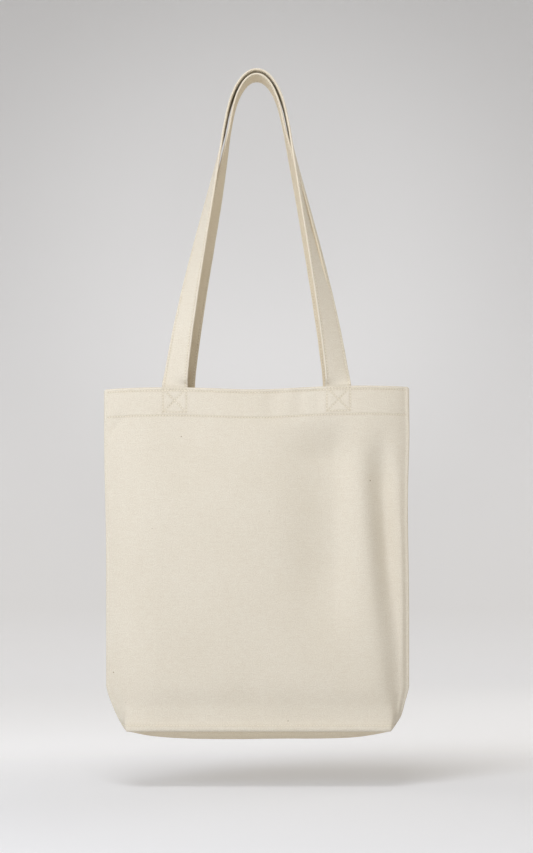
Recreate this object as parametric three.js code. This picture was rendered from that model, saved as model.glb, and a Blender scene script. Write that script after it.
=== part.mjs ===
// A natural canvas tote bag, hung up by its two handles.
//
// Millimetres, +Z up, the front towards -Y and +X to the right seen from the front.
// The origin is the hanging point: the middle of the underside of the inner handle's crown.
// Each layer of cloth is a thin closed sheet. Pieces that are sewn together keep sewnGap
// between them, and each row of stitches is a low strip that stands on the cloth it holds.

import * as THREE from 'three';

// The bag
const bagWidth = 356; // from side seam to side seam
const bagHeight = 396; // from the bottom edge to the mouth
const baseDepth = 50; // front to back across the boxed bottom
const mouthDepth = 34; // front to back at the mouth
const cornerRise = 45; // height over which the boxed corners draw the sides in
const baseSag = 9; // how far the middle of the bottom hangs below its edges
const canvasThickness = 0.9;
const sewnGap = 0.3;

// The hem round the mouth: the cloth is turned in twice
const hemHeight = 34;
const hemLayers = 3;
const hemStitchDrop = 33; // from the mouth down to the lower row of stitches
const mouthStitchDrop = 4; // from the mouth down to the upper row

// The handles: canvas folded to four layers and stitched along both edges
const handleWidth = 30;
const handleThickness = 2.6;
const handleDrop = 365; // from the mouth up to the hanging point
const handleSpread = 190; // between the middles of the front handle's two ends
const handleEndLength = 29; // sewn down inside the hem
const bendHeight = 5; // the handles bend this far above the mouth
const handleInset = 2; // cloth left flat beside a sewn end
const crownClearance = 2.5; // between the two handles where they hang
const legOverlap = 10.5; // of half a strap's width, hidden where one leg stands before another
const crownHalfWidth = 38; // of the oval that the outer handle's crown follows
const crownHeight = 80;
const innerCrownHeight = 68;
const legLean = THREE.MathUtils.degToRad(11); // where a leg runs into the crown
const frontLegBow = THREE.MathUtils.degToRad(-4); // from the straight line, at the sewn end
const backLegBow = THREE.MathUtils.degToRad(2);
const twistEndDrop = 60; // a leg has turned edge-on this far below the hanging point
const handleStitchInset = 3;

// Seams and thread
const seamAllowance = 10; // turned in along the side seams
const cornerSeamWidth = 8;
const cornerSeamInset = 4;
const bottomStitchRise = 7; // above the bottom edge
const threadWidth = 0.8;
const threadHeight = 0.3;
const boxStitchSize = 27; // the square of stitches with a cross in it on each handle end
const boxStitchDrop = 2;

// Places that follow from the sizes
const mouthZ = -handleDrop;
const baseZ = mouthZ - bagHeight;
const halfWidth = bagWidth / 2;
const baseHalfLength = halfWidth - baseDepth / 2;
const flatHalfWidth = (handleSpread + handleWidth) / 2 + handleInset;
const hemThickness = hemLayers * canvasThickness;
const seamEdge = hemThickness + sewnGap / 2; // half the depth of the bag at its side seams
const seamThickness = 2 * (seamEdge - canvasThickness - sewnGap);
const wallLean = Math.atan((baseDepth - mouthDepth) / 2 / bagHeight);
const handleInWall = hemThickness + sewnGap + handleThickness / 2;
const bendZ = mouthZ + bendHeight;
const backHandleInset = handleWidth / 2 - legOverlap;
const twistHeight = -twistEndDrop - bendZ;

const naturalCanvas = { color: 0xe2dccf, roughness: 0.92, metalness: 0 };
const shadedCanvas = { color: 0xd6cdbb, roughness: 0.94, metalness: 0 };
const cottonThread = { color: 0xeae3d4, roughness: 0.8, metalness: 0 };

const bag = new THREE.Group();

function addPiece(parent, name, geometry, finish) {
  const piece = new THREE.Mesh(geometry, new THREE.MeshStandardMaterial(finish));
  piece.name = name;
  parent.add(piece);
  return piece;
}

// A closed sheet between two grids of points that match row by row.
function closedSheet(top, bottom) {
  const rows = top.length;
  const columns = top[0].length;
  const positions = [];
  const triangles = [];
  for (const layer of [top, bottom]) {
    for (const row of layer) {
      for (const point of row) positions.push(point.x, point.y, point.z);
    }
  }
  const index = (layer, row, column) => (layer * rows + row) * columns + column;
  const addQuad = (a, b, c, d) => triangles.push(a, b, c, a, c, d);
  for (let i = 0; i < rows - 1; i++) {
    for (let j = 0; j < columns - 1; j++) {
      addQuad(index(0, i, j), index(0, i, j + 1), index(0, i + 1, j + 1), index(0, i + 1, j));
      addQuad(index(1, i, j), index(1, i + 1, j), index(1, i + 1, j + 1), index(1, i, j + 1));
    }
  }
  for (let j = 0; j < columns - 1; j++) {
    const last = rows - 1;
    addQuad(index(0, 0, j), index(1, 0, j), index(1, 0, j + 1), index(0, 0, j + 1));
    addQuad(index(0, last, j), index(0, last, j + 1), index(1, last, j + 1), index(1, last, j));
  }
  for (let i = 0; i < rows - 1; i++) {
    const last = columns - 1;
    addQuad(index(0, i, 0), index(0, i + 1, 0), index(1, i + 1, 0), index(1, i, 0));
    addQuad(index(0, i, last), index(1, i, last), index(1, i + 1, last), index(0, i + 1, last));
  }
  if (signedVolume(positions, triangles) < 0) triangles.reverse();
  const geometry = new THREE.BufferGeometry();
  geometry.setAttribute('position', new THREE.Float32BufferAttribute(positions, 3));
  geometry.setIndex(triangles);
  geometry.computeVertexNormals();
  return geometry;
}

function signedVolume(positions, triangles) {
  const corner = (i) => new THREE.Vector3().fromArray(positions, 3 * triangles[i]);
  let volume = 0;
  for (let i = 0; i < triangles.length; i += 3) {
    volume += corner(i).dot(corner(i + 1).cross(corner(i + 2))) / 6;
  }
  return volume;
}

// The front wall's outer face. Across it, u runs from -1 to 1: it is flat in the middle half
// of that, then curves back to the side seam. Over cornerRise it closes on the boxed corner.
const flatShare = 0.5;
const cornerColumn = 0.75;

function wallPoint(u, height) {
  const across = Math.abs(u);
  const depth = baseDepth / 2 - height * Math.tan(wallLean);
  const side = Math.max(0, (across - flatShare) / (1 - flatShare));
  const flatX = (Math.min(across, flatShare) / flatShare) * flatHalfWidth;
  const upper = new THREE.Vector2(
    flatX + side * (halfWidth - flatHalfWidth),
    -seamEdge - (depth - seamEdge) * (1 - side * side),
  );
  const alongEdge = Math.min(1, 2 * side);
  const roundCorner = Math.max(0, 2 * side - 1);
  const lower = new THREE.Vector2(
    flatX + alongEdge * (baseHalfLength - flatHalfWidth),
    -depth + roundCorner * (depth - seamEdge),
  );
  const point = lower.lerp(upper, Math.min(1, height / cornerRise));
  return new THREE.Vector3(Math.sign(u) * point.x, point.y, baseZ + height);
}

function wallNormal(u, height) {
  const step = 0.001;
  const left = wallPoint(Math.max(-1, u - step), height);
  const right = wallPoint(Math.min(1, u + step), height);
  const up = wallPoint(u, height + 1).sub(wallPoint(u, height));
  return right.sub(left).cross(up).normalize();
}

function offWall(u, height, out) {
  return wallPoint(u, height).addScaledVector(wallNormal(u, height), out);
}

// A stretch of the wall between two heights, from one distance off its face to another.
const wallColumns = [-1, -0.875, -0.75, -0.625, -0.5, -0.25, 0, 0.25, 0.5, 0.625, 0.75, 0.875, 1];

function wallBand(bottom, top, from, to, reach) {
  const columns = wallColumns.filter((u) => Math.abs(u) <= reach);
  const grid = (out) => [bottom, top].map(
    (height) => columns.map((u) => offWall(u, height, out)),
  );
  return closedSheet(grid(to), grid(from));
}

function panel() {
  const hemBottom = bagHeight - hemHeight;
  const rows = [
    [sewnGap, canvasThickness],
    [bottomStitchRise - threadWidth / 2, canvasThickness],
    [bottomStitchRise + threadWidth / 2, canvasThickness],
    [cornerRise / 2, canvasThickness],
    [cornerRise, canvasThickness],
    [hemBottom - 0.1, canvasThickness],
    [hemBottom, hemThickness],
    [bagHeight, hemThickness],
  ];
  const outer = rows.map(([height]) => wallColumns.map((u) => offWall(u, height, 0)));
  const inner = rows.map(
    ([height, thickness]) => wallColumns.map((u) => offWall(u, height, -thickness)),
  );
  for (const row of [0, rows.length - 1]) {
    for (const point of inner[row]) point.z = outer[row][0].z;
  }
  return closedSheet(outer, inner);
}

// A ribbon along stations, each with a place, the direction across it and the way its face
// looks. It lies from one height over the handle's middle layer to another.
function ribbon(stations, edges, from, to) {
  const grid = (out) => stations.map(({ place, across, face }) => edges.map(
    (offset) => place.clone().addScaledVector(across, offset).addScaledVector(face, out),
  ));
  return closedSheet(grid(to), grid(from));
}

// The middle line of a handle, from its left bend over the crown to its right bend.
function handleLine({ spread, crownZ, bow, crown }) {
  const meets = Math.atan((crown.height / crown.halfWidth) * Math.tan(legLean));
  const ovalZ = crownZ - crown.height;
  const ovalPoint = (angle) => new THREE.Vector3(
    crown.halfWidth * Math.cos(angle), 0, ovalZ + crown.height * Math.sin(angle),
  );
  const foot = new THREE.Vector3(spread / 2, 0, bendZ);
  const shoulder = ovalPoint(meets);
  const third = foot.distanceTo(shoulder) / 3;
  const footLean = Math.atan2(foot.x - shoulder.x, shoulder.z - foot.z) + bow;
  const leant = (from, lean, reach) => new THREE.Vector3(
    from.x - reach * Math.sin(lean), 0, from.z + reach * Math.cos(lean),
  );
  const leg = new THREE.CubicBezierCurve3(
    foot, leant(foot, footLean, third), leant(shoulder, legLean, -third), shoulder,
  );
  const crownSteps = 14;
  const half = leg.getPoints(18);
  for (let i = 1; i <= crownSteps; i++) {
    half.push(ovalPoint(meets + ((Math.PI / 2 - meets) * i) / crownSteps));
  }
  const mirrored = half.map((point) => new THREE.Vector3(-point.x, 0, point.z));
  return [...mirrored.slice(0, -1), ...half.reverse()];
}

// The handle leans in from the wall to the middle of the bag, and each leg turns from facing
// forwards at its sewn end to lying over the hanging point edge-on.
function handleStations(handle) {
  const { crownZ } = handle;
  const line = handleLine(handle);
  const footY = -mouthDepth / 2 + handleInWall;
  for (const point of line) point.y = (footY * (crownZ - point.z)) / (crownZ - bendZ);
  return line.map((place, i) => {
    const before = line[Math.max(0, i - 1)];
    const after = line[Math.min(line.length - 1, i + 1)];
    const atEnd = i === 0 || i === line.length - 1;
    const along = after.clone().sub(before);
    if (atEnd) along.x = 0;
    along.normalize();
    const outwards = new THREE.Vector3(-along.z, 0, along.x).normalize();
    const backwards = new THREE.Vector3().crossVectors(outwards, along).normalize();
    const rise = Math.min(1, (place.z - bendZ) / twistHeight);
    const easedFoot = 1 - Math.exp(-rise / 0.04);
    const twist = (Math.PI / 2) * rise ** 0.45 * easedFoot;
    const across = outwards.clone().multiplyScalar(Math.cos(twist));
    across.addScaledVector(backwards, Math.sin(twist));
    const face = outwards.clone().multiplyScalar(Math.sin(twist));
    face.addScaledVector(backwards, -Math.cos(twist));
    return { place, across, face };
  });
}

// The ends of a handle are sewn flat on the inside of the hem and reach up to the bend.
function handleEndStations(x) {
  const up = new THREE.Vector3(0, Math.sin(wallLean), Math.cos(wallLean));
  const face = new THREE.Vector3(0, -Math.cos(wallLean), Math.sin(wallLean));
  const mouth = new THREE.Vector3(x, -mouthDepth / 2, mouthZ).addScaledVector(face, -handleInWall);
  const reach = bendHeight - sewnGap;
  return [-handleEndLength, reach].map((rise) => ({
    place: mouth.clone().addScaledVector(up, rise),
    across: new THREE.Vector3(1, 0, 0),
    face,
  }));
}

// A square of stitches with a cross in it, cut out of one flat sheet.
function boxStitch() {
  const half = boxStitchSize / 2;
  const inner = half - threadWidth;
  const shape = new THREE.Shape();
  shape.moveTo(-half, -half);
  for (const [x, y] of [[half, -half], [half, half], [-half, half]]) shape.lineTo(x, y);
  for (let side = 0; side < 4; side++) {
    const turn = (side * Math.PI) / 2;
    const corners = [[-inner + threadWidth, inner], [inner - threadWidth, inner], [0, threadWidth]];
    const window = corners.map(
      ([x, y]) => new THREE.Vector2(x, y).rotateAround(new THREE.Vector2(), turn),
    );
    shape.holes.push(new THREE.Path(window));
  }
  return new THREE.ExtrudeGeometry(shape, { depth: threadHeight, bevelEnabled: false });
}

function addBoxStitch(side, name, x) {
  const piece = addPiece(side, name, boxStitch(), cottonThread);
  const drop = boxStitchDrop + boxStitchSize / 2;
  const out = 2 * sewnGap + threadHeight;
  const face = new THREE.Vector3(0, -Math.cos(wallLean), Math.sin(wallLean));
  piece.position.set(x, -mouthDepth / 2 - drop * Math.tan(wallLean), mouthZ - drop);
  piece.position.addScaledVector(face, out);
  piece.rotation.x = Math.PI / 2 - wallLean;
}

// One side of the bag: its panel, its rows of stitches and its handle. The back is the same
// turned half round, so a piece at -x there stands on the right seen from the front.
function addSide(name, turned, handle) {
  const side = new THREE.Group();
  side.rotation.z = turned ? Math.PI : 0;
  bag.add(side);
  const stitchFrom = sewnGap;
  const stitchTo = sewnGap + threadHeight;
  const row = (height, reach) => wallBand(
    height - threadWidth / 2, height + threadWidth / 2, stitchFrom, stitchTo, reach,
  );
  addPiece(side, `${name}_panel`, panel(), naturalCanvas);
  addPiece(side, `${name}_hem_stitching`, row(bagHeight - hemStitchDrop, 1), cottonThread);
  addPiece(side, `${name}_mouth_stitching`, row(bagHeight - mouthStitchDrop, 1), cottonThread);
  addPiece(side, `${name}_bottom_stitching`, row(bottomStitchRise, cornerColumn), cottonThread);

  const half = handleWidth / 2;
  const middle = handleThickness / 2;
  for (const sign of [-1, 1]) {
    const place = sign * (turned ? -1 : 1) < 0 ? 'left' : 'right';
    const x = (sign * handle.spread) / 2;
    const end = ribbon(handleEndStations(x), [-half, half], -middle, middle);
    addPiece(side, `${name}_handle_${place}_end`, end, shadedCanvas);
    addBoxStitch(side, `${name}_${place}_box_stitching`, x);
  }

  const stations = handleStations(handle);
  const stitchMiddle = half - handleStitchInset;
  const stitchEdges = [stitchMiddle - threadWidth / 2, stitchMiddle + threadWidth / 2];
  const mirrored = stitchEdges.map((edge) => -edge).reverse();
  const strap = ribbon(stations, [-half, ...mirrored, ...stitchEdges, half], -middle, middle);
  addPiece(side, `${name}_handle`, strap, naturalCanvas);
  for (const [edge, edges] of [['outer', stitchEdges], ['inner', mirrored]]) {
    const thread = ribbon(stations, edges, middle + stitchFrom, middle + stitchTo);
    addPiece(side, `${name}_handle_${edge}_stitching`, thread, cottonThread);
  }
}

// The bottom panel hangs as a shallow tray, with its two sewn ends flat.
function bottomPanel() {
  const trayHalfLength = baseHalfLength * 2 / 3;
  const rimStart = baseHalfLength - cornerSeamInset - cornerSeamWidth - 2;
  const trayHalfDepth = baseDepth * 0.28;
  const xs = [-baseHalfLength, -rimStart, -trayHalfLength, trayHalfLength, rimStart, baseHalfLength];
  const ys = [-baseDepth / 2, -trayHalfDepth, trayHalfDepth, baseDepth / 2];
  const layer = (z) => ys.map((y) => xs.map((x) => {
    const inTray = Math.abs(x) <= trayHalfLength && Math.abs(y) <= trayHalfDepth;
    return new THREE.Vector3(x, y, z - (inTray ? baseSag : 0));
  }));
  return closedSheet(layer(baseZ), layer(baseZ - canvasThickness));
}

// A side seam is the cloth's edges, turned in and bound together between the two walls.
function sideSeam(sign) {
  const top = mouthZ - hemHeight - sewnGap;
  const corner = baseZ + cornerRise;
  const foot = baseZ + sewnGap + canvasThickness * 2 + sewnGap;
  const footX = baseHalfLength + ((foot - baseZ) / cornerRise) * (halfWidth - baseHalfLength);
  const outline = [
    [halfWidth, top], [halfWidth, corner], [footX, foot],
    [footX - seamAllowance, foot], [halfWidth - seamAllowance, corner], [halfWidth - seamAllowance, top],
  ];
  const layer = (y) => [
    outline.slice(0, 3), outline.slice(3).reverse(),
  ].map((edge) => edge.map(([x, z]) => new THREE.Vector3(sign * x, y, z)));
  return closedSheet(layer(-seamThickness / 2), layer(seamThickness / 2));
}

function cornerSeam(sign) {
  const height = canvasThickness * 2;
  const seam = new THREE.BoxGeometry(cornerSeamWidth, baseDepth - 2 * (canvasThickness + 1), height);
  const x = baseHalfLength - cornerSeamInset - cornerSeamWidth / 2;
  return seam.translate(sign * x, 0, baseZ + sewnGap + height / 2);
}

addPiece(bag, 'bottom_panel', bottomPanel(), naturalCanvas);
for (const [place, sign] of [['left', -1], ['right', 1]]) {
  addPiece(bag, `${place}_side_seam`, sideSeam(sign), shadedCanvas);
  addPiece(bag, `${place}_corner_seam`, cornerSeam(sign), shadedCanvas);
}

const innerCrownZ = handleThickness / 2;
const outerCrownZ = innerCrownZ + handleThickness + crownClearance;
const innerCrownHalfWidth = crownHalfWidth - handleThickness - backHandleInset;
addSide('front', false, {
  spread: handleSpread,
  bow: frontLegBow,
  crownZ: outerCrownZ,
  crown: { halfWidth: crownHalfWidth, height: crownHeight },
});
addSide('back', true, {
  spread: handleSpread - 2 * backHandleInset,
  bow: backLegBow,
  crownZ: innerCrownZ,
  crown: { halfWidth: innerCrownHalfWidth, height: innerCrownHeight },
});

export default bag;
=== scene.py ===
import math

import bpy
import numpy as np
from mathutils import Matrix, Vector, noise


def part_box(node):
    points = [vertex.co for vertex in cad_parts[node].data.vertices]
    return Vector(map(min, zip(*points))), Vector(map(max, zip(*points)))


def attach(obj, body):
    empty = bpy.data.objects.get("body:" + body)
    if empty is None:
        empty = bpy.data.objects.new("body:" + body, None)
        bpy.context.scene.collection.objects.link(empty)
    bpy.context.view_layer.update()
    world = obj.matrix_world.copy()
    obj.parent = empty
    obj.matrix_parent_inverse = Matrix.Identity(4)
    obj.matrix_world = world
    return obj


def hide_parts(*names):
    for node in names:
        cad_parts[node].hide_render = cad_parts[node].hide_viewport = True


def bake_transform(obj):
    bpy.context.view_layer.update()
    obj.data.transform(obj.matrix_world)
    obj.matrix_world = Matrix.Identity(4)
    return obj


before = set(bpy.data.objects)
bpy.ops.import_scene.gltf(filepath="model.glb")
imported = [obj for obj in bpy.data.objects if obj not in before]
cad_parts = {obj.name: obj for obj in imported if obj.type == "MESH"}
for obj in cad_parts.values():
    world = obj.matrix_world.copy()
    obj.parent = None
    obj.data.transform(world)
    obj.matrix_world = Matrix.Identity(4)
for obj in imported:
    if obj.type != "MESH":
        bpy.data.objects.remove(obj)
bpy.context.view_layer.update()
bpy.ops.object.select_all(action="DESELECT")

# ---- The camera ----
# It stands level, two metres in front of the bag and low down, so it sees the front square on
# and a little of the underside. The lens is shifted upwards to take in the handles.
camera = bpy.data.objects.new("camera", bpy.data.cameras.new("camera"))
camera.data.sensor_width = 36
camera.data.lens = 72.2
camera.data.shift_y = 0.223
camera.location = (0.0115, -2.0, -0.630)
camera.rotation_euler = (math.pi / 2, 0, 0)
bpy.context.collection.objects.link(camera)
bpy.context.scene.camera = camera


# ---- The studio ----
# A round studio cove: a pale painted floor that curves up into a wall all the way round,
# so that the bag can be looked at from every side. It isn't part of the bag.
def linear(hex_colour):
    shares = [int(hex_colour[i:i + 2], 16) / 255 for i in (1, 3, 5)]
    return [s / 12.92 if s <= 0.04045 else ((s + 0.055) / 1.055) ** 2.4 for s in shares] + [1.0]


def add_node(tree, kind, inputs, **settings):
    made = tree.nodes.new(kind)
    for setting, value in settings.items():
        setattr(made, setting, value)
    for name, value in inputs.items():
        if isinstance(value, bpy.types.NodeSocket):
            tree.links.new(value, made.inputs[name])
        else:
            made.inputs[name].default_value = value
    return made


def new_material(name):
    material = bpy.data.materials.new(name)
    material.use_nodes = True
    material.node_tree.nodes.clear()
    return material, material.node_tree


def add_mesh(name, points, faces, material):
    mesh = bpy.data.meshes.new(name)
    mesh.from_pydata([tuple(p) for p in points], [], faces)
    mesh.materials.append(material)
    mesh.shade_smooth()
    made = bpy.data.objects.new(name, mesh)
    bpy.context.collection.objects.link(made)
    return made


floor_z = -0.830
cove_radius = 4.6
cove_bend = 1.2
wall_height = 3.6
painted_glow_strength = 0.42  # how strongly the paint glows: painted light, strongest away from the bag
wall_top_tone = 1.7  # the height at which the painted shade on the wall is at its darkest

# Matt emulsion paint, rolled on: it has no gloss. Painted shade darkens the wall upwards, in the
# paint's colour and its glow alike.
paint, tree = new_material("matt_paint_painted_light_and_shade")
place = add_node(tree, "ShaderNodeTexCoord", {})
height = add_node(tree, "ShaderNodeSeparateXYZ", {"Vector": place.outputs["Object"]})
up_wall = add_node(tree, "ShaderNodeMapRange", {
    "Value": height.outputs["Z"], "From Min": floor_z, "From Max": wall_top_tone,
})
# This ramp is painted shade: pale at the floor, darker up the wall.
fall = add_node(tree, "ShaderNodeValToRGB", {"Fac": up_wall.outputs["Result"]})
fall.color_ramp.elements[0].color = linear("#E3E4E7")
fall.color_ramp.elements[1].color = linear("#BBBBBC")
for share, tone in ((0.09, "#D9D9DA"), (0.33, "#D5D5D6"), (0.64, "#C8C8C9")):
    fall.color_ramp.elements.new(share).color = linear(tone)
# Painted light: the paint glows weakly on the floor under the bag and fully a good metre from it,
# and a painted pool of light lies on the wall behind the handles.
away = add_node(tree, "ShaderNodeVectorMath", {
    0: place.outputs["Object"], 1: (0.15, -0.35, floor_z),
}, operation="DISTANCE")
painted_glow_falloff = add_node(tree, "ShaderNodeMapRange", {
    "Value": away.outputs["Value"], "From Min": 0.30, "From Max": 1.2,
    "To Min": 0.18 * painted_glow_strength, "To Max": painted_glow_strength,
}, interpolation_type="SMOOTHSTEP")
from_pool = add_node(tree, "ShaderNodeVectorMath", {
    0: place.outputs["Object"], 1: (0.0, cove_radius, 0.9),
}, operation="DISTANCE")
pool = add_node(tree, "ShaderNodeMapRange", {
    "Value": from_pool.outputs["Value"], "From Min": 0.4, "From Max": 1.3,
    "To Min": 1.22, "To Max": 0.82,
}, interpolation_type="SMOOTHSTEP")
painted_glow_amount = add_node(tree, "ShaderNodeMath", {
    0: painted_glow_falloff.outputs["Result"], 1: pool.outputs["Result"],
}, operation="MULTIPLY")
# The paint's emission is painted light: it glows though it is no lamp.
surface = add_node(tree, "ShaderNodeBsdfPrincipled", {
    "Base Color": fall.outputs["Color"], "Roughness": 0.9, "Specular IOR Level": 0.2,
    "Emission Color": fall.outputs["Color"], "Emission Strength": painted_glow_amount.outputs["Value"],
})
add_node(tree, "ShaderNodeOutputMaterial", {"Surface": surface.outputs["BSDF"]})

bend_steps = 12
profile = [(r, floor_z) for r in (0.0, 1.0, 2.2, cove_radius - cove_bend)]
for step in range(1, bend_steps + 1):
    turn = math.pi / 2 * step / bend_steps
    profile.append((
        cove_radius - cove_bend + cove_bend * math.sin(turn),
        floor_z + cove_bend * (1 - math.cos(turn)),
    ))
profile.append((cove_radius, floor_z + wall_height))
around = 96
cove_points = [(0.0, 0.0, floor_z)]
for radius, z in profile[1:]:
    for i in range(around):
        angle = 2 * math.pi * i / around
        cove_points.append((radius * math.cos(angle), radius * math.sin(angle), z))
cove_faces = [(0, 1 + i, 1 + (i + 1) % around) for i in range(around)]
for ring in range(len(profile) - 2):
    first = 1 + ring * around
    for i in range(around):
        j = (i + 1) % around
        cove_faces.append((first + i, first + around + i, first + around + j, first + j))
cove = add_mesh("studio_cove", cove_points, cove_faces, paint)


def add_softbox(name, place, aim, size, power, colour):
    lamp = bpy.data.lights.new(name, "AREA")
    lamp.shape = "DISK"
    lamp.size = size
    lamp.energy = power
    lamp.color = colour
    box = bpy.data.objects.new(name, lamp)
    box.location = place
    box.rotation_euler = (Vector(aim) - Vector(place)).to_track_quat("-Z", "Y").to_euler()
    bpy.context.collection.objects.link(box)


add_softbox("key_softbox", (-1.42, -2.20, 0.35), (0, 0, -0.5), 1.4, 26.3, (0.89, 0.97, 1.12))
add_softbox("top_softbox", (-0.32, -1.35, 1.35), (0, 0, -0.6), 1.1, 19.5, (0.97, 0.98, 1.0))
add_softbox("back_softbox", (1.90, 1.70, 0.60), (0, 0, -0.5), 1.4, 6, (1.0, 0.97, 0.92))
sky = bpy.data.worlds.new("studio_light")
sky.use_nodes = True
sky.node_tree.nodes["Background"].inputs["Color"].default_value = (1.0, 0.91, 0.77, 1.0)
sky.node_tree.nodes["Background"].inputs["Strength"].default_value = 0.48
bpy.context.scene.world = sky
bpy.context.scene.view_settings.view_transform = "Standard"

# ---- The cloth ----
# Unbleached cotton canvas in a plain weave, about 400 g/m2. It is matt and warm white, with
# uneven yarns that show as faint lines, and here and there a fleck of cotton seed.
yarn_pitch = 0.0013  # drawn about twice as coarse as it is, so that it shows at all
slub_length = 0.010
slubs_across = 0.45 / yarn_pitch
fleck_spacing = 0.017
fuzz_scale = 760.0  # the hairs of the yarns, drawn coarse at a little over a millimetre
patch_scale = 14.0  # uneven bleaching, in patches a hand wide
mix_share, mix_first, mix_second, mixed_out = 0, 6, 7, 2  # a colour Mix node's own sockets
canvas, tree = new_material("unbleached_cotton_canvas")
weave_map = add_node(tree, "ShaderNodeUVMap", {}, uv_map="cloth")
# The weft runs along U and the warp along V. Bands of scale 1 lie pi / 10 apart.
yarn_bands, yarn_slubs = [], []
for banded_along, stretch in (
    ("Y", (1 / slub_length, slubs_across, 1.0)),
    ("X", (slubs_across, 1 / slub_length, 1.0)),
):
    yarn_bands.append(add_node(tree, "ShaderNodeTexWave", {
        "Vector": weave_map.outputs["UV"], "Scale": math.pi / 10 / yarn_pitch,
        "Distortion": 1.2, "Detail": 1.0, "Detail Scale": 0.35,
    }, bands_direction=banded_along))
    stretched = add_node(tree, "ShaderNodeMapping", {
        "Vector": weave_map.outputs["UV"], "Scale": stretch,
    })
    yarn_slubs.append(add_node(tree, "ShaderNodeTexNoise", {
        "Vector": stretched.outputs["Vector"], "Scale": 1.0, "Detail": 3.0, "Roughness": 0.65,
    }))
weave = add_node(tree, "ShaderNodeMath", {
    0: yarn_bands[0].outputs["Fac"], 1: yarn_bands[1].outputs["Fac"],
}, operation="MULTIPLY")
slubs = add_node(tree, "ShaderNodeMix", {
    "Factor": 0.35, "A": yarn_slubs[0].outputs["Fac"], "B": yarn_slubs[1].outputs["Fac"],
}, data_type="FLOAT")
fuzz = add_node(tree, "ShaderNodeTexNoise", {
    "Vector": weave_map.outputs["UV"], "Scale": fuzz_scale, "Detail": 2.0, "Roughness": 0.7,
})
patches = add_node(tree, "ShaderNodeTexNoise", {
    "Vector": weave_map.outputs["UV"], "Scale": patch_scale, "Detail": 3.0,
})
flecks = add_node(tree, "ShaderNodeTexVoronoi", {
    "Vector": weave_map.outputs["UV"], "Scale": 1 / fleck_spacing, "Randomness": 1.0,
})
# Only some of the cells hold a fleck, each of its own size.
fleck_pick = add_node(tree, "ShaderNodeSeparateColor", {"Color": flecks.outputs["Color"]})
fleck_size = add_node(tree, "ShaderNodeMapRange", {
    "Value": fleck_pick.outputs["Red"], "From Min": 0.62, "From Max": 1.0,
    "To Min": 0.0, "To Max": 0.06,
})
fleck_inside = add_node(tree, "ShaderNodeMath", {
    0: fleck_size.outputs["Result"], 1: flecks.outputs["Distance"],
}, operation="SUBTRACT")
fleck_mask = add_node(tree, "ShaderNodeMapRange", {
    "Value": fleck_inside.outputs["Value"], "From Min": 0.0, "From Max": 0.016,
    "To Min": 0.0, "To Max": 0.8,
})
yarn_tone = add_node(
    tree, "ShaderNodeValToRGB", {"Fac": slubs.outputs["Result"]}, name="yarn_tone")
patch_tone = add_node(tree, "ShaderNodeValToRGB", {"Fac": patches.outputs["Fac"]})
fuzz_tone = add_node(tree, "ShaderNodeValToRGB", {"Fac": fuzz.outputs["Fac"]})
plain = (1.0, 1.0, 1.0, 1.0)
for tone, dark_at, dark, light_at, light in (
    (yarn_tone, 0.32, linear("#DBD2C1"), 0.66, linear("#E0D9C9")),
    (patch_tone, 0.35, (0.982, 0.977, 0.968, 1.0), 0.65, plain),
    (fuzz_tone, 0.36, (0.885, 0.87, 0.85, 1.0), 0.62, plain),
):
    low_end, high_end = tone.color_ramp.elements
    low_end.position, low_end.color = dark_at, dark
    high_end.position, high_end.color = light_at, light
patched = add_node(tree, "ShaderNodeMix", {
    mix_share: 1.0, mix_first: yarn_tone.outputs["Color"],
    mix_second: patch_tone.outputs["Color"],
}, data_type="RGBA", blend_type="MULTIPLY")
fuzzed = add_node(tree, "ShaderNodeMix", {
    mix_share: 1.0, mix_first: patched.outputs[mixed_out],
    mix_second: fuzz_tone.outputs["Color"],
}, data_type="RGBA", blend_type="MULTIPLY")
flecked = add_node(tree, "ShaderNodeMix", {
    mix_share: fleck_mask.outputs["Result"], mix_first: fuzzed.outputs[mixed_out],
    mix_second: linear("#84704F"),
}, data_type="RGBA")
# Painted shade darkens the inner faces of the handles and the underside of the bottom, where they
# lie in shade, and needle holes and pressed-in cloth darken the lines of stitching. The mesh of
# each piece is marked with where.
shaded_and_sewn_tone = flecked
for mark, tint in (("painted_shade", (1.0, 0.95, 0.855, 1.0)), ("sewn", (0.86, 0.83, 0.78, 1.0))):
    marked_share = add_node(tree, "ShaderNodeAttribute", {}, attribute_name=mark)
    shaded_and_sewn_tone = add_node(tree, "ShaderNodeMix", {
        mix_share: marked_share.outputs["Fac"], mix_first: shaded_and_sewn_tone.outputs[mixed_out],
        mix_second: tint,
    }, data_type="RGBA", blend_type="MULTIPLY")
yarn_height = add_node(tree, "ShaderNodeMath", {
    0: slubs.outputs["Result"], 1: 0.4, 2: weave.outputs["Value"],
}, operation="MULTIPLY_ADD")
fuzzy_height = add_node(tree, "ShaderNodeMath", {
    0: fuzz.outputs["Fac"], 1: 1.2, 2: yarn_height.outputs["Value"],
}, operation="MULTIPLY_ADD")
yarn_relief = 0.00030
relief = add_node(tree, "ShaderNodeBump", {
    "Strength": 0.5, "Distance": yarn_relief, "Height": fuzzy_height.outputs["Value"],
})
cloth_surface = add_node(tree, "ShaderNodeBsdfPrincipled", {
    "Base Color": shaded_and_sewn_tone.outputs[mixed_out], "Roughness": 0.92, "Specular IOR Level": 0.25,
    "Sheen Weight": 0.10, "Sheen Roughness": 0.45, "Sheen Tint": linear("#FFF8EA"),
    "Normal": relief.outputs["Normal"],
})
add_node(tree, "ShaderNodeOutputMaterial", {"Surface": cloth_surface.outputs["BSDF"]})

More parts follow.
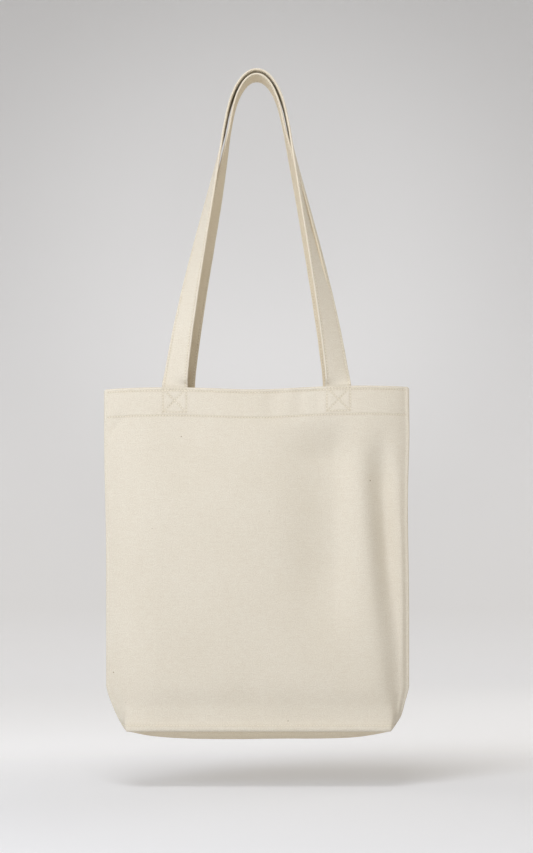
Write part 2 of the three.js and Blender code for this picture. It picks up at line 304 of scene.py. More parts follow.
# ---- The thread ----
# Three-ply cotton sewing thread, a shade lighter than the canvas and slightly glossy from its
# twist, which shows as fine slanting lines.
ply_pitch = 0.0006
ply_depth = 0.0001
thread, tree = new_material("cotton_sewing_thread")
place = add_node(tree, "ShaderNodeTexCoord", {})
twist_band = add_node(tree, "ShaderNodeTexWave", {
    "Vector": place.outputs["Object"], "Scale": math.pi / 10 / ply_pitch, "Distortion": 0.6,
}, bands_direction="DIAGONAL")
ply_tone = add_node(tree, "ShaderNodeValToRGB", {"Fac": twist_band.outputs["Fac"]})
ply_tone.color_ramp.elements[0].color = linear("#D6CBB4")
ply_tone.color_ramp.elements[1].color = linear("#F0E9D8")
ply_relief = add_node(tree, "ShaderNodeBump", {
    "Strength": 0.5, "Distance": ply_depth, "Height": twist_band.outputs["Fac"],
})
thread_surface = add_node(tree, "ShaderNodeBsdfPrincipled", {
    "Base Color": ply_tone.outputs["Color"], "Roughness": 0.62, "Specular IOR Level": 0.4,
    "Sheen Weight": 0.15, "Normal": ply_relief.outputs["Normal"],
})
add_node(tree, "ShaderNodeOutputMaterial", {"Surface": thread_surface.outputs["BSDF"]})

# ---- The front and back of the bag ----
# Each is one length of canvas with its top turned in twice for a hem, its sides rounded into the
# side seams and its foot pinched along the edge of the bottom. It hangs in soft, shallow folds.
panel_low, panel_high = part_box("front_panel")
half_width = panel_high.x + 0.0003
mouth_z = panel_high.z
base_z = panel_low.z - 0.0022  # the cloth hangs a little below its seam line
base_depth = -panel_low.y
mouth_depth = 0.017
cloth_thick = 0.0009
hem_height = 0.034
hem_thick = 0.0030
hem_fold = 0.00095  # half the thickness where the hem's raw edge is tucked under
corner_rise = 0.052
corner_curve = 1.35
base_half_length = 0.153
foot_shift = 0.0050  # one end of the foot is boxed a little wider than the other
flat_half = 0.112  # from here outwards a side rounds towards its seams
seam_depth = 0.0022
hem_seam_depth = 0.0031
edge_lead = 0.0020  # the rounding reaches its end this far short of the seam
foot_radius = 0.0019
foot_lip = 0.0005
bag_height = mouth_z - base_z
hem_line = mouth_z - hem_height
hem_stitch_drop = 0.033
mouth_stitch_drop = 0.004
foot_stitch_rise = 0.007
box_size = 0.027
box_drop = 0.002
stitch_groove = 0.00042
front_end_x = 0.095  # the middle of each strap end, out from the middle of the bag
back_end_x = 0.0905
back_shift = 0.0026  # the back handle's ends are sewn this far to the right of the middle


def smooth_step(value, start, end):
    share = np.clip((value - start) / (end - start), 0, 1)
    return share * share * (3 - 2 * share)


def hump(value, centre, width):
    return np.exp(-(((value - centre) / width) ** 2))


def hem_share(z):
    """1 within the hem, with z in millimetres."""
    return smooth_step(z, -410, -392) * smooth_step(-z, 363, 370)


def front_folds(x, z):
    """How far the front stands proud of the plain shape, in metres, at x and z."""
    x, z = x * 1000, z * 1000
    # It bellies out in the middle and has a broad dent to the right of it.
    out = 3.0 * hump(x, -30, 70) * hump(z, -560, 150)
    broad = np.where(x < 88, hump(x, 88, 44), hump(x, 88, 24))
    out -= 13.5 * broad * smooth_step(z, -680, -560) * smooth_step(-z, 394, 450)
    # A deep fold runs down to the right corner, wide above and narrow below.
    valley_x = np.interp(z, [-750, -720, -660, -600, -500, -440], [163, 163, 160, 155, 148, 145])
    valley_wide = np.interp(z, [-750, -650, -500, -430], [10, 13, 17, 21])
    valley = np.where(x < valley_x, hump(x, valley_x, valley_wide), hump(x, valley_x, 11))
    deep = np.interp(z, [-750, -660, -560, -430], [4.0, 7.0, 15.5, 14.5])
    out -= deep * valley * smooth_step(z, -752, -705) * smooth_step(-z, 405, 480)
    # A short crease slants down to the left side just under the hem, the foot is drawn in above
    # its seam, and the hem puckers a little between the straps.
    out -= 2.6 * hump(x - 0.81 * (z + 399), -156, 8) * hump(z, -410, 16)
    out -= 1.3 * hump(x, -18, 18) * hump(z, -722, 24)
    out -= 4.4 * hump(z, -738, 18) * smooth_step(z, -760, -750)
    out -= 1.7 * hem_share(z) * (hump(x, 18, 10) + hump(x, 50, 8) + 0.5 * hump(x, 70, 6))
    return out / 1000


def back_folds(x, z):
    """The same for the back, which hangs in shallow folds of its own."""
    x, z = x * 1000, z * 1000
    out = 1.8 * hump(x, 20, 80) * hump(z, -580, 140)
    out -= 2.6 * hump(x, -66, 24) * smooth_step(z, -640, -560) * smooth_step(-z, 394, 430)
    out -= 3.2 * hump(x + 0.10 * (z + 600), 142, 15) * smooth_step(z, -750, -690) * (
        smooth_step(-z, 420, 500)
    )
    out -= 2.4 * hump(x - 0.06 * (z + 600), -140, 14) * smooth_step(z, -700, -640) * (
        smooth_step(-z, 450, 540)
    )
    out -= 1.0 * hump(x, 30, 20) * hump(z, -715, 24)
    out -= 2.4 * hump(z, -742, 18) * smooth_step(z, -760, -750)
    out -= 0.9 * hem_share(z) * (hump(x, -20, 7) + hump(x, -46, 6) + 0.6 * hump(x, 130, 6))
    return out / 1000


def crumple(x, z, seed):
    """The canvas's own unevenness, in metres: broad soft swells and small stiff ones."""
    made = np.zeros(np.shape(x))
    for index in np.ndindex(np.shape(x)):
        at = Vector((x[index] * 11, z[index] * 9, seed))
        fine = Vector((x[index] * 42, z[index] * 34, seed + 7))
        made[index] = 0.0011 * noise.noise(at) + 0.00022 * noise.noise(fine)
    return made


def edge_lift(x, tilt):
    """How far the top edge stands above the mouth's line: it sags between the handles, and one
    corner hangs higher than the other."""
    x = x * 1000
    lift = 2.2 + tilt * x - 3.4 * hump(x, 0, 60)
    lift -= 1.2 * smooth_step(np.abs(x), 174.5, 178) ** 2
    return lift / 1000


def strap_end_share(x, z, end_x, end_shift):
    """1 where the end of a strap lies behind the hem, falling to 0 round it."""
    beside = np.abs(np.abs(x - end_shift) - end_x)
    below_mouth = mouth_z - z
    return smooth_step(-beside, -0.0165, -0.0140) * smooth_step(-below_mouth, -0.032, -0.029)


def sewn_share(x, z, end_x, end_shift):
    """1 along the rows and the boxes of stitches, falling to 0 beside them."""
    made = hump(z, mouth_z - hem_stitch_drop, 0.0009)
    made = np.maximum(made, hump(z, mouth_z - mouth_stitch_drop, 0.0008))
    made = np.maximum(made, 0.3 * hump(z, base_z + foot_stitch_rise, 0.0009))
    half = box_size / 2
    u = np.abs(np.abs(x - end_shift) - end_x)
    v = np.abs(z - (mouth_z - box_drop - half))
    off = np.minimum(np.minimum(np.abs(u - half), np.abs(v - half)), np.abs(u - v) * 0.707)
    inside = (u < half + 0.001) & (v < half + 0.001)
    return np.maximum(made, hump(off, 0, 0.0008) * inside)


# The columns of a side, from -1 to 1: closer by the seams and where the strap ends are sewn.
laid_half_width = 0.175  # the half width that the columns' steps are given for
column_steps = np.concatenate([
    np.linspace(-1, -0.94, 9),
    np.arange(-0.1622, -0.1125, 0.0022) / laid_half_width,
    np.arange(-0.112, -0.0775, 0.00115) / laid_half_width,
    np.arange(-0.0762, -0.0005, 0.0021) / laid_half_width,
])
columns = np.concatenate([column_steps, [0.0], -column_steps[::-1]])

# The rows of a side, each a height above the base and how far in from the outer face: up from
# the lip in the foot's seam, over the mouth, down inside the hem and round its tucked edge.
rows = [(h, foot_radius + foot_lip) for h in (0.0040, 0.0025, 0.0012)]
for step in range(3):
    turn = math.pi / 2 * step / 3
    rows.append((foot_lip * (1 - math.sin(turn)), foot_radius + foot_lip * math.cos(turn)))
for step in range(6):
    turn = math.pi / 2 * step / 5
    rows.append((foot_radius * (1 - math.cos(turn)), foot_radius * (1 - math.sin(turn))))
rows += [(h, 0.0) for h in np.concatenate([
    np.arange(0.0030, 0.012, 0.0012), np.arange(0.0125, bag_height - 0.039, 0.0022),
    np.arange(bag_height - 0.0385, bag_height - 0.0020, 0.0011),
])]
first_wall_row, last_wall_row = 11, len(rows) - 1
mouth_turn_rows = 8
for step in range(1, mouth_turn_rows + 1):
    turn = math.pi * step / mouth_turn_rows
    rows.append((
        bag_height - hem_thick / 2 + hem_thick / 2 * math.sin(turn),
        hem_thick / 2 * (1 - math.cos(turn)),
    ))
first_inner_row = len(rows)
rows += [(h, hem_thick) for h in np.arange(
    bag_height - 0.003, bag_height - hem_height, -0.0022)]
for step in range(1, 6):
    turn = math.pi * step / 5
    rows.append((
        bag_height - hem_height - hem_fold * math.sin(turn),
        hem_thick - hem_fold * (1 - math.cos(turn)),
    ))
rows.append((bag_height - hem_height + 0.004, hem_thick - 2 * hem_fold))
row_heights = np.array([r[0] for r in rows])
row_insets = np.array([r[1] for r in rows])


def seam_radius(z):
    """Half the thickness of the bag at its side seams, which the hem makes thicker."""
    return seam_depth + (hem_seam_depth - seam_depth) * smooth_step(
        z, mouth_z - hem_height - 0.016, mouth_z - hem_height - 0.002)


def outer_face(heights, folds, seed, turn, end_x, end_shift):
    """The outer face of a side: a point for each height above the base and each column."""
    side, high = np.meshgrid(columns, heights)
    z = base_z + high
    depth = base_depth + (mouth_depth - base_depth) * high / bag_height
    at_seam = seam_radius(z)
    across = np.abs(side) * half_width
    # Higher up, the side rounds from its flat middle into the seams.
    past_flat = np.clip((across - flat_half) / (half_width - edge_lead - flat_half), 0, 1)
    power = 2.0 + 1.3 * (smooth_step(-z, 0.44, 0.70) * (side > 0))
    upper_depth = at_seam + (depth - at_seam) * (1 - past_flat ** power)
    # At the foot, it is straight as far as the boxed corner, and from there it goes in square.
    past_corner = np.clip(across - base_half_length, 0, None)
    lower_x = np.minimum(across, base_half_length)
    lower_depth = base_depth - (base_depth - at_seam) * past_corner / (
        half_width - base_half_length)
    risen = 1 - (1 - np.clip(high / corner_rise, 0, 1)) ** corner_curve
    x = (lower_x + (across - lower_x) * risen) * np.sign(side)
    y = lower_depth + (upper_depth - lower_depth) * risen
    # The sides are drawn in a little by the folds, and one end of the foot is wider. On the
    # back, which is turned round, left and right change places.
    to_left, to_right = 1 - turn * side, 1 + turn * side
    drawn_left = 0.0027 * smooth_step(-z, 0.42, 0.58) * smooth_step(high, -0.01, 0.05)
    drawn_right = 0.0015 * hump(z, -0.50, 0.07) - 0.0008 * hump(z, -0.425, 0.03)
    x += turn * (drawn_left * to_left - drawn_right * to_right) / 2
    x += turn * foot_shift * (1 - risen) * to_right / 2
    x += turn * 0.0025 * hump(high, 0.017, 0.012) * to_right / 2
    # Folds, the welt along the foot and the steps over the hem and the strap ends stand proud.
    welt = 1.1 * hump(high, 0.0035, 0.0035) - 0.9 * hump(high, 0.0125, 0.006)
    proud = folds(x, z) + crumple(x, z, seed) * smooth_step(high, 0.004, 0.03)
    proud += welt / 1000
    proud += 0.00035 * smooth_step(z, hem_line - 0.0012, hem_line + 0.0018)
    proud += 0.0004 * strap_end_share(x, z, end_x, end_shift)
    proud *= 1 - smooth_step(across, half_width - 0.014, half_width - 0.003)
    return np.stack([x, -y - proud, z], axis=-1)


def soften(points, passes):
    """Evens the columns out across the cloth, leaving both ends as they are."""
    for _ in range(passes):
        inner = 0.5 * points[:, 1:-1] + 0.25 * (points[:, :-2] + points[:, 2:])
        points = np.concatenate([points[:, :1], inner, points[:, -1:]], axis=1)
    return points


def round_seam(points, heights):
    """Adds columns at both ends that turn in to meet the other side at the seam."""
    radius = seam_radius(base_z + heights) - 0.00012
    # The last columns are narrowed to leave room for the turn.
    reach = np.maximum(np.abs(points[:, :1, 0]), np.abs(points[:, -1:, 0]))
    held = 0.92 * reach
    beyond = np.clip(np.abs(points[:, :, 0]) - held, 0, None)
    narrowed = beyond * (1 - radius[:, None] / (reach - held))
    points = points.copy()
    points[:, :, 0] = np.sign(points[:, :, 0]) * (
        np.minimum(np.abs(points[:, :, 0]), held) + narrowed)
    turn_columns = 5
    left, right = [], []
    for step in range(1, turn_columns + 1):
        turn = math.pi / 2 * step / turn_columns
        for column, end, sign in ((left, 0, -1), (right, -1, 1)):
            moved = points[:, end].copy()
            moved[:, 0] += sign * radius * math.sin(turn)
            moved[:, 1] += radius * (1 - math.cos(turn))
            column.append(moved)
    return np.concatenate([
        np.stack(left[::-1], axis=1), points, np.stack(right, axis=1)], axis=1)


def face_normals(points):
    """The way a grid of points faces at each of them."""
    down = np.gradient(points, axis=0)
    across = np.gradient(points, axis=1)
    normal = np.cross(across, down)
    length = np.linalg.norm(normal, axis=-1, keepdims=True)
    return normal / np.maximum(length, 1e-12)


def sheet_of_canvas(folds, seed, turned, end_x, end_shift, tilt):
    """The outer and inner faces of a side, as grids of points, with the hem turned in."""
    turn = -1 if turned else 1
    plain = soften(outer_face(row_heights, folds, seed, turn, end_x, end_shift), 2)
    plain = round_seam(plain, row_heights)
    level = np.cross(np.gradient(plain, axis=1), [0, 0, 1])
    level[..., 2] = 0
    level /= np.maximum(np.linalg.norm(level, axis=-1, keepdims=True), 1e-12)
    outer = plain - level * row_insets[:, None, None]
    marked = sewn_share(outer[..., 0], outer[..., 2], end_x, end_shift)
    marked *= smooth_step(half_width - np.abs(outer[..., 0]), 0.002, 0.006)
    share = smooth_step(row_heights, bag_height - 0.09, bag_height - 0.03)
    outer[..., 2] += share[:, None] * edge_lift(outer[..., 0], tilt)
    normals = face_normals(outer)
    inner = outer - normals * cloth_thick
    pressed = stitch_groove * marked
    pressed[last_wall_row + 1:] *= 0.4  # less on the inside of the hem
    outer = outer - normals * pressed[..., None]
    if turned:
        flip = np.array([-1, -1, 1])
        outer, inner, normals = outer * flip, inner * flip, normals * flip
    return outer, inner, normals, marked


inner_offset = [0.31, 0.17]  # so that the weave inside doesn't mirror the weave outside


def map_cloth(made, coordinates):
    """Lays the weave on a piece: a place on the cloth, in metres, for each point."""
    corner = np.empty(len(made.data.loops), dtype=np.int32)
    made.data.loops.foreach_get("vertex_index", corner)
    layer = made.data.uv_layers.new(name="cloth")
    layer.data.foreach_set("uv", coordinates[corner].astype(np.float32).ravel())


def mark_cloth(made, mark, shares):
    """Marks how far each point of a piece is darkened with painted shade or stitched down (sewn).
    """
    layer = made.data.attributes.new(mark, "FLOAT", "POINT")
    layer.data.foreach_set("value", shares.astype(np.float32))


def closed_sheet(name, outer, inner, material):
    """A sheet of cloth with a thickness, from two grids of points, mapped in metres."""
    tall, wide = outer.shape[:2]
    index = np.arange(tall * wide).reshape(tall, wide)
    faces = []
    for grid, forwards in ((index, True), (index + tall * wide, False)):
        a, b, c, d = grid[:-1, :-1], grid[:-1, 1:], grid[1:, 1:], grid[1:, :-1]
        quads = np.stack([a, b, c, d] if forwards else [a, d, c, b], axis=-1)
        faces += quads.reshape(-1, 4).tolist()
    rim = [*index[0, :], *index[1:, -1], *index[-1, -2::-1], *index[-2:0:-1, 0]]
    for here, after in zip(rim, rim[1:] + rim[:1]):
        faces.append([int(after), int(here), int(here) + tall * wide, int(after) + tall * wide])
    made = add_mesh(name, np.concatenate([outer.reshape(-1, 3), inner.reshape(-1, 3)]),
                    faces, material)
    steps_across = np.linalg.norm(np.diff(outer[tall // 2], axis=0), axis=-1)
    steps_up = np.linalg.norm(np.diff(outer[:, wide // 2], axis=0), axis=-1)
    u = np.concatenate([[0], np.cumsum(steps_across)])
    v = np.concatenate([[0], np.cumsum(steps_up)])
    grid = np.stack(np.meshgrid(u, v), axis=-1).reshape(-1, 2)
    map_cloth(made, np.concatenate([grid, grid + inner_offset]))
    return made


def shift_cloth(made, across):
    """Moves a piece's weave across it, so that two halves of one cloth match."""
    layer = made.data.uv_layers["cloth"]
    moved = np.empty(2 * len(layer.data), dtype=np.float32)
    layer.data.foreach_get("uv", moved)
    moved = moved.reshape(-1, 2) + np.array([across, 0], dtype=np.float32)
    layer.data.foreach_set("uv", moved.ravel())


sides = {}
for side, folds, seed, turned, end_x, tilt in (
    ("front", front_folds, 3.0, False, front_end_x, 0.0085),
    ("back", back_folds, 19.0, True, back_end_x, -0.0085),
):
    end_shift = -back_shift if turned else 0.0
    outer, inner, normals, marked = sheet_of_canvas(
        folds, seed, turned, end_x, end_shift, tilt)
    middle = outer.shape[1] // 2
    sides[side] = (outer, normals)
    for half, which in (
        (slice(0, middle + 1), "right" if turned else "left"),
        (slice(middle, None), "left" if turned else "right"),
    ):
        sheet = closed_sheet(
            f"{side}_canvas_{which}", outer[:, half], inner[:, half], canvas)
        mark_cloth(sheet, "sewn", np.tile(marked[:, half].ravel(), 2))
        # The two halves share their normals down the middle, so that no line shows there.
        joined = -1 if half.start == 0 else 0
        kept = np.zeros((2, *outer[:, half].shape))
        kept[0, :, joined] = normals[:, middle]
        kept[1, :, joined] = -normals[:, middle]
        sheet.data.normals_split_custom_set_from_vertices(kept.reshape(-1, 3).tolist())
        if half.start == 0:
            reach = np.linalg.norm(np.diff(outer[len(rows) // 2, half], axis=0), axis=-1).sum()
            shift_cloth(sheet, -reach)
        sign = -1 if which == "left" else 1
        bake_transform(sheet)
        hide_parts(f"{side}_panel")

# ---- The bottom ----
# A long strip of the same canvas joins the two sides underneath. Its edges turn up into the
# seam with each side, and its middle sags.
sag_depth = 0.0098
inset_long, inset_deep = 0.0027, 0.0023  # it lies this far inside the edges of the sides
# How far the underside of the bottom is darkened with painted shade.
underside_painted_shade = 0.8
lip_in = np.array([0.0, 0.0, 0.0001, 0.0003, 0.0007])
lip_up = np.array([0.0040, 0.0022, 0.0006, 0.0002, 0.0])
half_long, half_deep = base_half_length - inset_long, base_depth - inset_deep
places, rises = [], []
for half, count in ((half_long, 130), (half_deep, 24)):
    between = np.linspace(0.002 - half, half - 0.002, count)
    places.append(np.concatenate([lip_in - half, between, (half - lip_in)[::-1]]))
    rises.append(np.concatenate([lip_up, np.zeros(count), lip_up[::-1]]))
across, deep = np.meshgrid(*places)
sag = sag_depth * (1 - np.abs(across / half_long) ** 5) * (1 - np.abs(deep / half_deep) ** 2.4)
sag += 0.8 * crumple(across, deep, 41.0)
level = base_z - sag + np.maximum(rises[0][None, :], rises[1][:, None])
across = across + foot_shift * (1 + across / half_long) / 2
under = np.stack([across, deep, level], axis=-1)[::-1]
above = under - face_normals(under) * cloth_thick
bottom = closed_sheet("bottom_canvas", under, above, canvas)
mark_cloth(bottom, "painted_shade", np.full(len(bottom.data.vertices), underside_painted_shade))
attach(bottom, "bag_base")
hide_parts("bottom_panel")

# ---- The seams inside ----
# The raw edges of the two sides, sewn together and overlocked, stand into the bag along each
# side seam and across each boxed corner.
side_seam_width = 0.0095
side_seam_inset = 0.0024
seam_half_thick = 0.00075
seam_step = 0.0019
overlock_length = 0.0032
seam_canvas = canvas.copy()
seam_canvas.name = "overlocked_canvas_edge"
seam_tones = seam_canvas.node_tree.nodes["yarn_tone"].color_ramp.elements
seam_tones[0].color = linear("#D3C7AE")
seam_tones[1].color = linear("#E9E0CC")


def add_stitches(name, lines, pitch, share=0.70, width=0.00042, depth=0.00030):
    """Stitches of sewing thread along lines of (points, normals), each one a bead of thread
    whose two ends dive into the cloth. share is how much of each pitch the thread shows."""
    stations = np.array([-1.0, -0.82, -0.38, 0.38, 0.82, 1.0])
    girth = np.array([0.30, 0.78, 1.0, 1.0, 0.78, 0.30])
    lift = np.array([-0.00012, 0.00008, 0.00016, 0.00016, 0.00008, -0.00012])
    round_it = 6
    turn = np.arange(round_it) * 2 * math.pi / round_it
    points, faces = [], []
    for line, normals in lines:
        line, normals = np.asarray(line, float), np.asarray(normals, float)
        run = np.concatenate([[0], np.cumsum(np.linalg.norm(np.diff(line, axis=0), axis=1))])
        count = max(1, round(run[-1] / pitch))
        step = run[-1] / count
        for k in range(count):
            at = (k + 0.5) * step
            ends = [np.array([np.interp(at + off, run, line[:, i]) for i in range(3)])
                    for off in (-0.4 * step, 0.0, 0.4 * step)]
            along = ends[2] - ends[0]
            along /= np.linalg.norm(along)
            up = np.array([np.interp(at, run, normals[:, i]) for i in range(3)])
            up -= along * up.dot(along)
            up /= np.linalg.norm(up)
            beside = np.cross(up, along)
            first = len(points)
            for place, size, high in zip(stations, girth, lift):
                middle = ends[1] + along * place * share * step / 2 + up * high
                for t in turn:
                    points.append(middle + beside * math.cos(t) * width * size
                                  + up * math.sin(t) * depth * size)
            for a in range(first, len(points) - round_it, round_it):
                b = a + round_it
                for i in range(round_it):
                    j = (i + 1) % round_it
                    faces.append((a + i, b + i, b + j, a + j))
            faces.append(tuple(range(first, first + round_it)))
            faces.append(tuple(range(len(points) - 1, len(points) - 1 - round_it, -1)))
    made = add_mesh(name, points, faces, thread)
    return made


def seam_strip(name, stitches_name, edge, inwards, beside, width, node):
    """A standing seam: edge is its sewn edge, inwards the way it stands, beside its thickness.
    An overlock stitch zigzags over its raw edge."""
    edge = np.asarray(edge, float)
    across = np.linspace(0, width, 7)
    along = np.arange(len(edge))
    wave = 0.0005 * np.sin(along * 0.21)[:, None] * (across / width)[None, :] ** 2
    wave = wave + 0.0003 * np.sin(along * 0.57 + 1.0)[:, None] * (across / width)[None, :]
    middle = edge[:, None, :] + across[None, :, None] * inwards + wave[..., None] * beside
    thick = seam_half_thick * np.array([0.6, 1.0, 1.0, 1.0, 1.0, 1.0, 0.75])
    one = middle + beside * thick[None, :, None]
    other = middle - beside * thick[None, :, None]
    flipped = np.cross(one[0, 1] - one[0, 0], one[1, 0] - one[0, 0]).dot(beside) < 0
    strip = closed_sheet(name, other if flipped else one, one if flipped else other, seam_canvas)
    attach(strip, "bag_base")
    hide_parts(node)
    lines = []
    for face, sign in ((one, 1), (other, -1)):
        facing = beside * sign
        for i in range(0, len(edge) - 2, 2):
            lines.append(([face[i, 3], face[i, 6]], [facing] * 2))
            lines.append(([face[i, 6], face[i + 2, 3]], [facing] * 2))
        lines.append((face[:, 2], np.tile(facing, (len(edge), 1))))
    overlock = add_stitches(
        stitches_name, lines, overlock_length, share=0.92, width=0.00030, depth=0.00022)
    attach(overlock, "bag_base")


for which, sign in (("left", -1), ("right", 1)):
    side_low, side_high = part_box(f"{which}_side_seam")
    z = np.arange(side_low.z + 0.001, hem_line - 0.002, seam_step)
    still_to_rise = (1 - np.clip((z - base_z) / corner_rise, 0, 1)) ** corner_curve
    x = base_half_length + (half_width - base_half_length) * (1 - still_to_rise)
    x = sign * (x - side_seam_inset) + max(sign, 0) * foot_shift * still_to_rise
    edge = np.stack([x, np.zeros(len(z)), z], axis=-1)
    seam_strip(f"{which}_seam_edge", f"{which}_seam_overlock", edge,
               np.array([-sign, 0, 0]), np.array([0.0, 1.0, 0.0]), side_seam_width,
               f"{which}_side_seam")
    corner_low, corner_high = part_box(f"{which}_corner_seam")
    y = np.arange(corner_low.y + 0.001, corner_high.y - 0.001, seam_step)
    x = np.full(len(y), (corner_low.x + corner_high.x) / 2 + max(sign, 0) * foot_shift)
    edge = np.stack([x, y, np.full(len(y), corner_low.z)], axis=-1)
    seam_strip(f"{which}_corner_edge", f"{which}_corner_overlock", edge,
               np.array([0, 0, 1.0]), np.array([1.0, 0, 0]), corner_high.z - corner_low.z,
               f"{which}_corner_seam")

# ---- The straps ----
# Each handle is one long strip of canvas folded into four and edge-stitched, 30 mm wide. Its two
# ends are sewn flat inside the hem, and it turns edge-on as it climbs to where the bag hangs.
strap_thick = 0.0025
half_strap = 0.015
bend_z = mouth_z + 0.005
in_wall = 0.0044
crown_tall = 0.088
edge_on_z = -0.060  # the height at which a strap has turned edge-on
leg_lean = math.radians(11)
leg_bow = math.radians(-4)
wall_lean = (base_depth - mouth_depth) / bag_height
strap_step = 0.001
edge_stitch_inset = 0.003
edge_stitch_length = 0.0036
edge_stitch_level = 0.00105  # out from the strap's middle: the stitches sink in a little
strap_on_cloth = 0.6  # where the straps lie on the weave, clear of the sides


def strap_line(spread, crown_z, crown_half):
    """The middle line of a handle and how far each place has turned, from end to end."""
    # Half of it: the end in the hem, a leg that bows a little, and a quarter of the crown.
    meets = math.atan(crown_tall / crown_half * math.tan(leg_lean))
    angles = np.linspace(meets, math.pi / 2, 40)
    crown = np.stack([crown_half * np.cos(angles),
                      crown_z - crown_tall + crown_tall * np.sin(angles)], axis=-1)
    foot, shoulder = np.array([spread / 2, bend_z]), crown[0]
    third = np.linalg.norm(foot - shoulder) / 3
    lean = math.atan2(foot[0] - shoulder[0], shoulder[1] - foot[1]) + leg_bow
    towards = np.array([-math.sin(lean), math.cos(lean)]) * third
    arriving = np.array([-math.sin(leg_lean), math.cos(leg_lean)]) * third
    t = np.linspace(0, 1, 160)[:, None]
    leg = (foot * (1 - t) ** 3 + 3 * (foot + towards) * t * (1 - t) ** 2
           + 3 * (shoulder - arriving) * t * t * (1 - t) + shoulder * t ** 3)
    end_z = np.arange(mouth_z - 0.029, bend_z - 0.0005, strap_step)
    end = np.stack([np.full(len(end_z), spread / 2), end_z], axis=-1)
    half = np.concatenate([end, leg, crown[1:]])
    line = np.concatenate([half * [-1, 1], half[-2::-1]])
    # The whole of it in even steps, with the joins between its parts smoothed.
    run = np.concatenate([[0], np.cumsum(np.linalg.norm(np.diff(line, axis=0), axis=1))])
    even = np.linspace(0, run[-1], round(run[-1] / strap_step))
    x, z = np.interp(even, run, line[:, 0]), np.interp(even, run, line[:, 1])
    reach = 18
    kernel = np.exp(-0.5 * (np.arange(-reach, reach + 1) / 5.0) ** 2)
    kernel /= kernel.sum()
    for track in (x, z):
        padded = np.concatenate([2 * track[0] - track[reach:0:-1], track,
                                 2 * track[-1] - track[-2:-reach - 2:-1]])
        track[:] = np.convolve(padded, kernel, mode="valid")
    # It leans back with the wall, steps over the mouth's edge and climbs to where it hangs.
    foot_y = -mouth_depth + in_wall
    y = np.where(z > bend_z, foot_y * (crown_z - z) / (crown_z - bend_z),
                 foot_y - wall_lean * (mouth_z - z) - 0.0001)
    y = y + 0.0007 * hump(z, bend_z + 0.0030, 0.0045)
    rise = np.clip((z - bend_z) / (edge_on_z - bend_z), 0, 1)
    twist = math.pi / 2 * np.minimum(1, 0.22 + 0.79 * rise) * (1 - np.exp(-rise / 0.02))
    return np.stack([x, y, z], axis=-1), twist


def strap_frames(line, twist):
    """The ways across the strap and out of its face, at each place along it."""
    along = np.gradient(line, axis=0)
    along /= np.linalg.norm(along, axis=1, keepdims=True)
    outwards = np.stack([-along[:, 2], np.zeros(len(line)), along[:, 0]], axis=-1)
    outwards /= np.linalg.norm(outwards, axis=1, keepdims=True)
    backwards = np.cross(outwards, along)
    cosine, sine = np.cos(twist)[:, None], np.sin(twist)[:, None]
    return outwards * cosine + backwards * sine, outwards * sine - backwards * cosine


edge_turns = np.linspace(-math.pi / 2, math.pi / 2, 7)
flat_steps = np.array([-13.0, -12.4, -12.0, -11.6, -11.0, -9.0, -6.0, -3.0, 0.0,
                       3.0, 6.0, 9.0, 11.0, 11.6, 12.0, 12.4, 13.0]) / 1000


def strap_section():
    """The strap's outline: flat with rounded folds at its edges, nipped in by the stitching."""
    half = strap_thick / 2
    nipped = half - 0.00028 * hump(np.abs(flat_steps), half_strap - edge_stitch_inset, 0.0009)
    nipped = nipped + 0.00012 * hump(flat_steps, 0, 0.007)
    right = [(half_strap - half + half * math.cos(t), -half * math.sin(t)) for t in edge_turns]
    left = [(-half_strap + half - half * math.cos(t), half * math.sin(t)) for t in edge_turns]
    return np.array([*zip(flat_steps, nipped), *right, *zip(flat_steps[::-1], -nipped[::-1]),
                     *left])


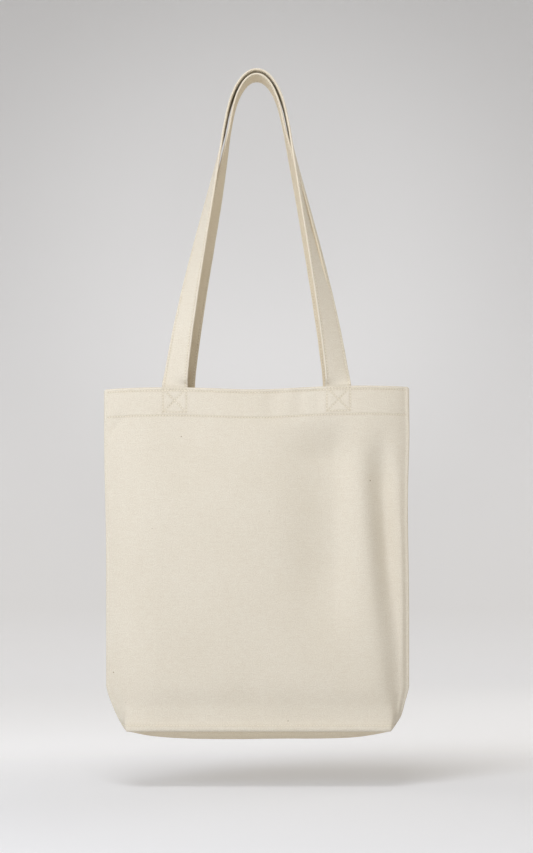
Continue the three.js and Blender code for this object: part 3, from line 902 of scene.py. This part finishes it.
for side, turned, end_x, crown_z, crown_half in (
    ("front", False, front_end_x, 0.0064, 0.038),
    ("back", True, back_end_x, 0.0013, 0.0330),
):
    line, twist = strap_line(2 * end_x, crown_z, crown_half)
    across, face = strap_frames(line, twist)
    if turned:
        flip = np.array([-1, -1, 1])
        line, across, face = line * flip, across * flip, face * flip
        line[:, 0] += back_shift * smooth_step(-line[:, 2], 0.02, 0.16)
    # Rings round the strap, close together near its ends and every third step between.
    section = strap_section()
    count, last, near_end = len(section), len(line) - 1, 50
    picks = np.unique(np.concatenate([
        np.arange(0, near_end), np.arange(near_end, len(line) - near_end, 3),
        np.arange(len(line) - near_end, len(line)),
    ]))
    rings = []
    for i in picks:
        ripple = 0.00022 * noise.noise(Vector((i * 0.045, 0.0, 5.0 + turned)))
        swell = 0.00012 * noise.noise(Vector((i * 0.11, 3.0, 9.0 + turned)))
        pinch = 0.55 + 0.45 * min(1, min(i, last - i) / 1.5)
        rings.append(line[i] + np.outer(section[:, 0] + ripple, across[i])
                     + np.outer(section[:, 1] * pinch + swell, face[i]))
    points = np.concatenate(rings)
    faces = []
    for a in range(0, len(points) - count, count):
        b = a + count
        for i in range(count):
            j = (i + 1) % count
            faces.append((a + i, b + i, b + j, a + j))
    faces.append(tuple(range(count - 1, -1, -1)))
    faces.append(tuple(range(len(points) - count, len(points))))
    strap = add_mesh(f"{side}_strap_webbing", points, faces, canvas)
    girth = np.linalg.norm(section - np.roll(section, 1, axis=0), axis=1)
    girth[0] = 0
    map_cloth(strap, np.stack([
        np.tile(np.cumsum(girth), len(rings)) + strap_on_cloth,
        np.repeat(picks * strap_step, count),
    ], axis=-1))
    # The strap's inner face is darkened with painted shade.
    inner_share = np.clip(0.5 - section[:, 1] / strap_thick, 0, 1)
    mark_cloth(strap, "painted_shade", np.tile(inner_share, len(rings)))
    edge_share = 0.8 * hump(np.abs(section[:, 0]), half_strap - edge_stitch_inset, 0.0007)
    mark_cloth(strap, "sewn", np.tile(edge_share, len(rings)))
    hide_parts(f"{side}_handle", f"{side}_handle_left_end", f"{side}_handle_right_end")
    lines = []
    for edge in (-1, 1):
        for sign in (-1, 1):
            offset = across * edge * (half_strap - edge_stitch_inset)
            offset = offset + face * sign * edge_stitch_level
            lines.append(((line + offset)[3:-3], (face * sign)[3:-3]))
    edge_stitches = add_stitches(f"{side}_strap_stitches", lines, edge_stitch_length)
    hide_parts(f"{side}_handle_outer_stitching", f"{side}_handle_inner_stitching")
    for piece in (strap, edge_stitches):
        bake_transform(piece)

# ---- The stitching of the bag ----
# Two rows of lockstitch hold the hem, one pinches the foot, and a square with a cross in it
# fastens each end of the straps through the hem.
stitch_length = 0.0034
inner_rows_sewn = 12  # the lower inside row of the hem lies no deeper than this many rows


def at_height(side, height, inside=False):
    """The line across a side at one height above its base, on its outer or its inner face."""
    outer, normals = sides[side]
    if inside:
        picked = np.arange(first_inner_row, first_inner_row + inner_rows_sewn)
        row = np.interp(-height, -row_heights[picked], picked)
    else:
        picked = np.arange(first_wall_row, last_wall_row + 1)
        row = np.interp(height, row_heights[picked], picked)
    low = int(row)
    share = row - low
    return (outer[low] * (1 - share) + outer[low + 1] * share,
            normals[low] * (1 - share) + normals[low + 1] * share)


cross_in_square = (
    ((-1, 0), (1, 0)), ((1, 0), (1, -2)), ((1, -2), (-1, -2)), ((-1, -2), (-1, 0)),
    ((-1, 0), (1, -2)), ((1, 0), (-1, -2)),
)
for side, turned, end_x in (("front", False, front_end_x), ("back", True, back_end_x)):
    rows_sewn = (
        ("hem_stitches", f"{side}_hem_stitching", bag_height - hem_stitch_drop, True),
        ("mouth_stitches", f"{side}_mouth_stitching", bag_height - mouth_stitch_drop, True),
        ("foot_stitches", f"{side}_bottom_stitching", foot_stitch_rise, False),
    )
    for label, node, height, both_faces in rows_sewn:
        faces_sewn = [at_height(side, height)]
        if both_faces:
            faces_sewn.append(at_height(side, height, inside=True))
        for which, sign in (("left", -1), ("right", 1)):
            lines = []
            for points, normals in faces_sewn:
                half = (sign * points[:, 0] > -1e-6) & (np.abs(points[:, 0]) < half_width - 0.0045)
                lines.append((points[half], normals[half]))
            row_sewn = add_stitches(f"{side}_{label}_{which}", lines, stitch_length)
            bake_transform(row_sewn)
            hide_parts(node)
    for which, sign in (("left", -1), ("right", 1)):
        middle_x = sign * end_x + (back_shift if turned else 0)
        half = box_size / 2
        facing = -1 if turned else 1
        lines = []
        for start, end in cross_in_square:
            points, normals, inner_points = [], [], []
            for share in np.linspace(0.03, 0.97, 12):
                x = middle_x + half * (start[0] * (1 - share) + end[0] * share)
                height = bag_height - box_drop + half * (
                    start[1] * (1 - share) + end[1] * share)
                row_points, row_normals = at_height(side, height)
                order = np.argsort(row_points[:, 0])
                for found, row in ((points, row_points), (normals, row_normals)):
                    found.append([
                        np.interp(x, row_points[order, 0], row[order, i]) for i in range(3)])
                depth = -mouth_depth + in_wall - wall_lean * (bag_height - height)
                inner_points.append((
                    x, facing * (depth + strap_thick / 2 - 0.0002), base_z + height))
            lines += [(points, normals), (inner_points, [(0, facing, 0)] * len(inner_points))]
        box = add_stitches(f"{side}_box_stitches_{which}", lines, stitch_length)
        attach(box, f"{side}_side")
        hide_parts(f"{side}_{which}_box_stitching")
